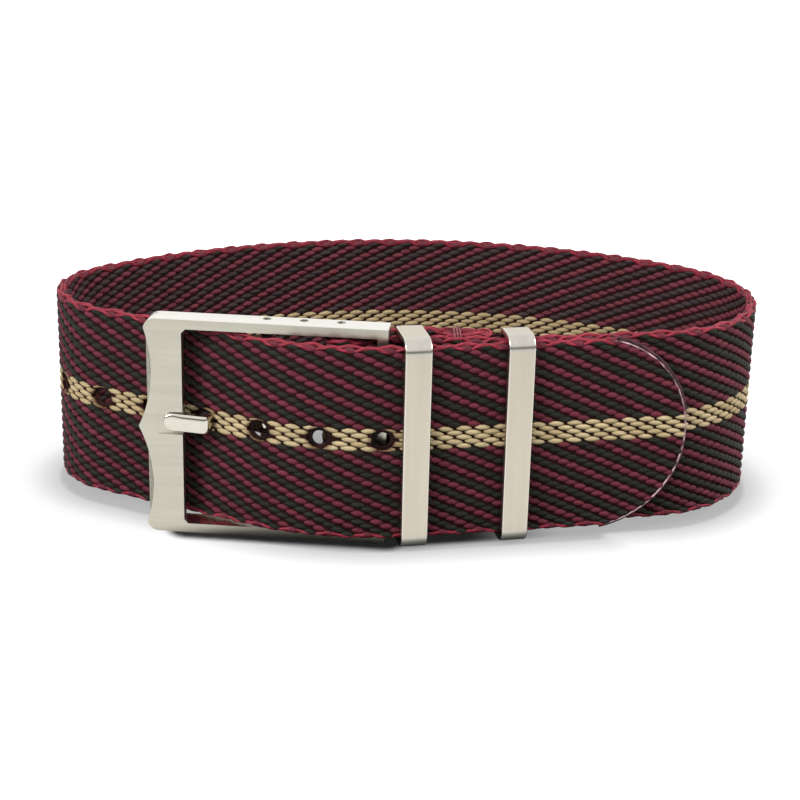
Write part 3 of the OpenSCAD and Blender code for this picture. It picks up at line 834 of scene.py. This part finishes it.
def buckle_plate():
    """The frame's CAD shape: edges softened, window corners rounded, the tongue's seat run out to nothing."""
    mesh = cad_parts["buckle_frame"].data.copy()
    mesh.name = "buckle_plate"
    obj = linked("buckle_plate", mesh)
    bm = bmesh.new()
    bm.from_mesh(mesh)
    bmesh.ops.remove_doubles(bm, verts=bm.verts, dist=1e-7)
    bmesh.ops.dissolve_limit(bm, angle_limit=math.radians(1.0), verts=bm.verts, edges=bm.edges)
    for vert in bm.verts:
        x, y, z = frame_place(vert.co)
        if abs(z - HOLE_Z) < 1.5 and abs(y - SEAT_FLOOR) < 0.1 and x < SEAT_END + 0.3:
            vert.co = in_frame(x, FACE + 0.06, z)
    corners = []
    for edge in bm.edges:
        ends = [frame_place(vert.co) for vert in edge.verts]
        at_corner = all(abs(end[0] - WINDOW) < 0.06 and abs(end[2] - HOLE_Z) > 5 for end in ends)
        if at_corner and abs(ends[0][1] - ends[1][1]) > 0.8:
            corners.append(edge)
    bmesh.ops.bevel(bm, geom=corners, offset=BEND_R * MM, segments=6, profile=0.5, affect="EDGES")
    bm.to_mesh(mesh)
    bm.free()
    mesh.materials.clear()
    for material in (satin_steel, polished_steel, ground_steel):
        mesh.materials.append(material)
    # Painted light: faces that face up and down take the paler steel, for the light from above.
    for polygon in mesh.polygons:
        polygon.material_index = 2 if abs(polygon.normal.z) > 0.7 else 0
    bevel = obj.modifiers.new("rounded", "BEVEL")
    bevel.width = EDGE_R * MM
    bevel.segments = 3
    bevel.limit_method = "ANGLE"
    bevel.angle_limit = math.radians(35)
    bevel.material = 1
    finished(obj)
    for polygon in obj.data.polygons:
        polygon.use_smooth = polygon.area < MM ** 2
    return obj


def rounded_section(width, depth, outer, inner, segments=3):
    """The section of a flat band: its outer edges rounded by one radius and its inner edges by another."""
    points = []
    for x, y, radius, start in [(outer, outer, outer, 180), (width - outer, outer, outer, 270),
                                (width - inner, depth - inner, inner, 0), (inner, depth - inner, inner, 90)]:
        for i in range(segments + 1):
            a = start + 90 * i / segments
            points.append((x + radius * cos(a), y + radius * sin(a)))
    return points


def wound(name, verts, rings, around, closed, material):
    """An object from rings of points, each joined to the next; closed, or with a flat end at either side."""
    faces = []
    for i in range(rings if closed else rings - 1):
        a, b = i * around, (i + 1) % rings * around
        faces += [(a + k, a + (k + 1) % around, b + (k + 1) % around, b + k) for k in range(around)]
    if not closed:
        faces.append(tuple(range(around)))
        faces.append(tuple(range((rings - 1) * around, rings * around))[::-1])
    obj = new_object(name, verts, faces)
    obj.data.materials.append(material)
    return obj


def keeper_loop(node, name):
    """A keeper: a flat band bent round the strap, with well rounded polished bends between its satin faces."""
    low, high = [Vector(corner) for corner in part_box(node)]
    bend, wall, turns, segments = 1.6 * MM, 0.65 * MM, 12, 3
    section = rounded_section(high.x - low.x, wall, EDGE_R * MM, EDGE_R / 2 * MM, segments)
    places = []
    for y, z, start in [(high.y - bend, high.z - bend, 0), (low.y + bend, high.z - bend, 90),
                        (low.y + bend, low.z + bend, 180), (high.y - bend, low.z + bend, 270)]:
        for i in range(turns + 1):
            a = start + 90 * i / turns
            places.append((y, z, cos(a), sin(a)))
    verts = [(low.x + x, y + (bend - deep) * c, z + (bend - deep) * s)
             for y, z, c, s in places for x, deep in section]
    around = len(section)
    obj = wound(name, verts, len(places), around, True, keeper_steel)
    obj.data.materials.append(bend_steel)
    obj.data.materials.append(polished_steel)
    for polygon in obj.data.polygons:
        ring, side = divmod(polygon.index, around)
        edge = (side + 1) % (segments + 1) > 0
        flat = (ring + 1) % (turns + 1) == 0 and not edge
        polygon.material_index = 2 if edge else 0 if flat else 1
        polygon.use_smooth = not flat
    return obj


for obj, node, body in [
    (buckle_plate(), "buckle_frame", "buckle"),
    (keeper_loop("fixed_keeper", "fixed_keeper_loop"), "fixed_keeper", "fixed_keeper"),
    (keeper_loop("free_keeper", "free_keeper_loop"), "free_keeper", "free_keeper"),
]:
    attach(obj, body)
    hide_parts(node)


def half_spring(name, node, end):
    """Half of the coil spring in a bar's tube, from its middle to its end at one pin."""
    low, high = [Vector(corner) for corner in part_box(node)]
    middle = (low + high) / 2
    wire = 0.07 * MM
    coil = (high.x - low.x) / 2 - wire
    long = (high.z - low.z) / 2
    turns, steps, around = 16, 14, 6
    verts = []
    for i in range(turns * steps + 1):
        share = i / (turns * steps)
        a = 360 * turns * share
        z = wire * 0.6 + (long - 2 * wire) * share
        for k in range(around):
            b = 360 * k / around
            out = coil + wire * cos(b)
            verts.append((middle.x + out * cos(a), middle.y + out * sin(a), middle.z + end * (z + wire * sin(b))))
    obj = wound(name, verts, turns * steps + 1, around, False, bar_steel)
    return obj, middle, (long - MM) / long


for bar in ["tongue_bar", "strap_bar"]:
    for side, end in [("top", 1), ("bottom", -1)]:
        obj, middle, left = half_spring(f"{bar}_spring_{side}_half", f"{bar}_spring", end)
        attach(obj, bar)
        tuple(middle)
        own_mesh(obj)
        if end == 1:
            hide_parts(f"{bar}_spring")

# Tubes take plain bar steel; the pin ends take the darkened steel, painted shade in the arm holes.
for node in ["tongue_bar_tube", "tongue_bar_top_pin", "tongue_bar_bottom_pin",
             "strap_bar_tube", "strap_bar_top_pin", "strap_bar_bottom_pin"]:
    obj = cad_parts[node]
    obj.data.materials.clear()
    obj.data.materials.append(pin_steel if node.endswith("pin") else bar_steel)


def swept(name, path, half_widths, half_thicks, rises, closed, material):
    """A bar bent along a plan path, with a rounded section: half_widths up and down, half_thicks across."""
    around = 20
    verts = []
    n = len(path)
    for i, (p, half_w, half_t, rise) in enumerate(zip(path, half_widths, half_thicks, rises)):
        before = path[i - 1] if i or closed else p
        behind = path[(i + 1) % n] if i < n - 1 or closed else p
        direction = Vector((behind[0] - before[0], behind[1] - before[1])).normalized()
        across = Vector((-direction.y, direction.x))
        for k in range(around):
            a = 360 * k / around
            flat = math.copysign(abs(cos(a)) ** 0.75, cos(a)) * half_w
            deep = math.copysign(abs(sin(a)) ** 0.75, sin(a)) * min(half_t, half_w)
            verts.append(in_frame(p[0] + across.x * deep, p[1] + across.y * deep, HOLE_Z + rise + flat))
    return wound(name, verts, n, around, closed, material)


def rounded_path(points, radius, step):
    """Straight stretches with their corners rounded, as close points."""
    points = [Vector(point) for point in points]
    out = [points[0]]
    for a, b, c in zip(points, points[1:], points[2:]):
        start = b + (a - b).normalized() * radius
        end = b + (c - b).normalized() * radius
        for i in range(9):
            t = i / 8
            out.append(start * (1 - t) ** 2 + b * 2 * t * (1 - t) + end * t ** 2)
    out.append(points[-1])
    fine = [out[0]]
    for p in out[1:]:
        last = fine[-1]
        parts = max(1, round((p - last).length / step))
        fine += [last.lerp(p, i / parts) for i in range(1, parts + 1)]
    return fine


def tongue():
    """The tongue: an eye round its bar, a flat run up through the pinhole, a bend, and its tip on the front bar."""
    half, thick = TONGUE_W / 2, TONGUE_T / 2
    eye_thick, eye_middle = (EYE_R - BAR_IN_TUBE) / 2, (EYE_R + BAR_IN_TUBE) / 2
    top = -1.735 - thick
    tip, tip_thick, tip_round = -19.1, 0.15, 1.25
    knee, heel, root = (-14.45, top + thick), (-13.5098, 2.05495), (TONGUE_BAR, -eye_middle)
    path = rounded_path([(tip, top + tip_thick), (WINDOW, top + thick), knee, heel, root], BEND_R, step=0.12)
    reach = [0.0]
    for a, b in zip(path, path[1:]):
        reach.append(reach[-1] + (b - a).length)
    widths, thicks, rises = [], [], []
    for p, r in zip(path, reach):
        widths.append(half * (0.02 + 0.98 * math.sqrt(max(0.0, 1 - (1 - min(r / tip_round, 1.0)) ** 2))))
        from_tip = tip_thick + (thick - tip_thick) * min(max((p.x - tip) / (WINDOW - tip), 0.0), 1.0)
        from_root = eye_thick + (thick - eye_thick) * min(max((TONGUE_BAR - 0.3 - p.x) / 1.4, 0.0), 1.0)
        thicks.append(min(from_tip, from_root))
        rises.append(0.13 - 0.28 * min((p.x - tip) / (knee[0] - tip), 1.0) if r < 5.5
                     else -0.15 * max(0.0, (9.0 - r) / 3.5))
    bar = swept("tongue_bar_bent", path, widths, thicks, rises, False, polished_steel)
    ring = [(TONGUE_BAR + eye_middle * cos(a), eye_middle * sin(a)) for a in range(0, 360, 10)]
    n = len(ring)
    eye = swept("tongue_eye", ring, [half] * n, [eye_thick] * n, [0.0] * n, True, polished_steel)
    return bar, eye


tongue_pieces = tongue()
for obj in tongue_pieces:
    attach(obj, "tongue")
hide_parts("tongue")


# Floor, light and camera

def white_world():
    """White behind the object; its reflections show a bright window behind and a dim room low down in front."""
    world = bpy.data.worlds.new("studio")
    scene.world = world
    world.use_nodes = True
    tree = world.node_tree
    tree.nodes.clear()
    path = add(tree, "ShaderNodeLightPath").outputs
    x, y, z = apart(tree, add(tree, "ShaderNodeTexCoord").outputs["Generated"])
    low_down = times(tree, between(tree, z, -0.02, 0.02), between(tree, z, 0.2, 0.34, 1, 0))
    in_front = between(tree, y, -0.35, -0.1, 1, 0)
    room = times(tree, low_down, in_front)
    window = times(tree, between(tree, y, 0.3, 0.6), between(tree, z, 0.1, 0.25))
    shown = calc(tree, "MAXIMUM", path["Is Glossy Ray"], path["Is Transmission Ray"])
    shown = calc(tree, "MAXIMUM", path["Is Camera Ray"], shown)
    soft = made(tree, "ShaderNodeBackground", {"Color": (0.97, 0.98, 1.0, 1.0), "Strength": 0.16})
    seen = calc(tree, "MULTIPLY_ADD", room, -0.9, times(tree, window, 0.08))
    strength = calc(tree, "MULTIPLY_ADD", seen, path["Is Glossy Ray"], 1.0)
    white = made(tree, "ShaderNodeBackground", {"Color": (1, 1, 1, 1), "Strength": strength})
    mixed = made(tree, "ShaderNodeMixShader", {0: shown, 1: soft, 2: white})
    add(tree, "ShaderNodeOutputWorld", {0: mixed})


def gap_to(points, path):
    """How far each point of the floor is from the nearest stretch of this path in plan, in millimetres."""
    x, y = points[:, :1], points[:, 1:2]
    starts, along = path[:-1], path[1:] - path[:-1]
    share = (x - starts[:, 0]) * along[:, 0] + (y - starts[:, 1]) * along[:, 1]
    share = np.clip(share / np.maximum((along ** 2).sum(1), 1e-12), 0, 1)
    return np.hypot(x - starts[:, 0] - share * along[:, 0], y - starts[:, 1] - share * along[:, 1]).min(1) / MM


def within(points, loop):
    """True for the points of the floor inside the strap's loop."""
    x, y = points[:, :1], points[:, 1:2]
    ends = np.roll(loop, -1, axis=0)
    crosses = (loop[:, 1] > y) != (ends[:, 1] > y)
    run = np.where(ends[:, 1] == loop[:, 1], 1e-9, ends[:, 1] - loop[:, 1])
    return (crosses & (x < loop[:, 0] + (y - loop[:, 1]) / run * (ends[:, 0] - loop[:, 0]))).sum(1) % 2 == 1


def floor():
    """The floor: white, brighter still for the camera and in the steel, with a painted shadow near the strap, darkest
    under and in front of it, and painted shade inside the loop; its own colour is darker near the strap, so that less
    light bounces up onto it.
    """
    lines = np.concatenate([[-3, -0.4, -0.12], np.linspace(-0.07, 0.07, 211), [0.12, 0.4, 3]])
    n = len(lines)
    points = np.array([(x, y, 0.0) for y in lines for x in lines])
    firsts = [j * n + i for j in range(n - 1) for i in range(n - 1)]
    faces = [(a, a + 1, a + n + 1, a + n) for a in firsts]
    obj = new_object("floor", points, faces, False)
    loop, front = [np.array([placed(p[0], p[1], 0)[:2] for s, p in stations(2.0, 6.0) if first < s < last])
                   for first, last in [(9, 206), (12, 50)]]
    inside = within(points, loop)
    arm = np.array([in_frame(x, SEAT_FLOOR, 0)[:2] for x in ARMS])
    # Distances that shape the painted shadow: off the strap, off the buckle's arm, and behind the front run.
    off_line = gap_to(points, loop)
    off_strap = np.where(inside, 0, off_line - 0.65).clip(0)
    off_arm = (gap_to(points, arm) - 1.4).clip(0)
    behind = gap_to(points, front) * np.where(inside, 1, -1)
    past_keeper = 0.13 * (points[:, 0] / MM + MIDDLE[0] - 6).clip(0)
    off_front = np.hypot(np.maximum(1.2 - behind, (behind - 3) * 0.45).clip(0), past_keeper)
    deep = np.where(inside, (off_line - 3) / 15, 0).clip(0, 1)
    off_front = np.minimum(off_arm, off_front)
    for name, values in [("off_strap", off_strap), ("off_front", off_front), ("deep_inside", deep)]:
        obj.data.attributes.new(name, "FLOAT", "POINT").data.foreach_set("value", values)
    material, tree = new_material("floor_white", Roughness=0.9, Specular_IOR_Level=0.0)
    strap = attribute(tree, "off_strap")
    # Painted shadow: the factor runs from 1 away from the front down to 0.04 under and just in front of the strap,
    # the buckle's arm and the keepers.
    painted_front_shade_factor = between(tree, attribute(tree, "off_front"), 0.1, 1.7, 0.04, 1, "SMOOTHSTEP")
    # The floor's own colour: darker near the strap, so less light bounces up onto the strap's lower part, and darker
    # still in the painted shadow.
    pale = times(tree, painted_front_shade_factor, between(tree, strap, 1, 40, 0.08, 0.35))
    # Painted shade inside the loop: the glow for the camera fades with distance inside it, from 3 mm off the strap.
    painted_inside_shade_factor = calc(tree, "MULTIPLY_ADD", attribute(tree, "deep_inside"), -0.65, 1)
    coat(tree, Base_Color=xyz(tree, pale, pale, pale))
    path = add(tree, "ShaderNodeLightPath").outputs
    # The glow for the camera rises with distance from the strap, painting its shadow on the floor.
    rise = times(tree, painted_inside_shade_factor, between(tree, strap, 0, 0.8, 0.4, 0.58, "SMOOTHSTEP"))
    rise = plus(tree, rise, between(tree, strap, 0.8, 4, 0, 0.25))
    rise = plus(tree, rise, between(tree, strap, 4, 13, 0, 0.2))
    to_camera = times(tree, path["Is Camera Ray"], times(tree, rise, painted_front_shade_factor))
    # The glow in the steel: what the floor's own colour leaves short of white, faded out near the strap as a painted
    # shadow in its reflection.
    missing = calc(tree, "MULTIPLY_ADD", pale, -1.8, 1.12)
    to_steel = times(tree, missing, between(tree, strap, 0.3, 5, 0, 1, "SMOOTHSTEP"))
    glow = calc(tree, "MULTIPLY_ADD", path["Is Glossy Ray"], to_steel, to_camera)
    glow = made(tree, "ShaderNodeEmission", {"Color": (1, 1, 1, 1), "Strength": glow})
    total = made(tree, "ShaderNodeAddShader", {0: tree.nodes["Principled BSDF"].outputs[0], 1: glow})
    put(tree, tree.nodes["Material Output"].inputs["Surface"], total)
    obj.data.materials.append(material)


def softbox(name, place, size, power, shines=True, aim=(0, 0, 0.01)):
    light = bpy.data.lights.new(name, "AREA")
    light.shape = "RECTANGLE"
    light.size, light.size_y = size
    light.energy = power
    obj = linked(name, light)
    obj.location = place
    obj.rotation_euler = (Vector(aim) - Vector(place)).to_track_quat("-Z", "Y").to_euler()
    obj.visible_glossy = shines
    obj.visible_camera = False


def camera():
    turn, tip, roll = 11.79, 19.96, 1.367
    ahead = Vector((sin(turn) * cos(tip), cos(turn) * cos(tip), -sin(tip)))
    right = Vector((cos(turn), -sin(turn), 0))
    up = Vector((sin(turn) * sin(tip), cos(turn) * sin(tip), cos(tip)))
    rolled_right = right * cos(roll) + up * sin(roll)
    rolled_up = up * cos(roll) - right * sin(roll)
    data = bpy.data.cameras.new("camera")
    data.lens = 83.14
    data.sensor_width = 36.0
    data.clip_start = 0.01
    obj = linked("camera", data)
    turned = Matrix((rolled_right, rolled_up, -ahead)).transposed().to_4x4()
    obj.matrix_world = Matrix.Translation(Vector((-42.5, -201.2, 84.14)) * MM) @ turned
    scene.camera = obj


white_world()
floor()
softbox("top", (-0.05, 0.0, 0.6), (0.4, 0.4), 1.2, False)
softbox("left", (-0.55, -0.28, 0.42), (0.35, 0.35), 4.2)
softbox("right", (0.6, -0.12, 0.36), (0.35, 0.35), 2.8)
softbox("front", (0.0, -0.07, 0.085), (0.3, 0.04), 0.13, False, (0, -0.02, 0.02))
softbox("behind", (0.15, 0.6, 0.32), (0.4, 0.4), 1.6, False)
camera()
scene.view_settings.view_transform = "Standard"
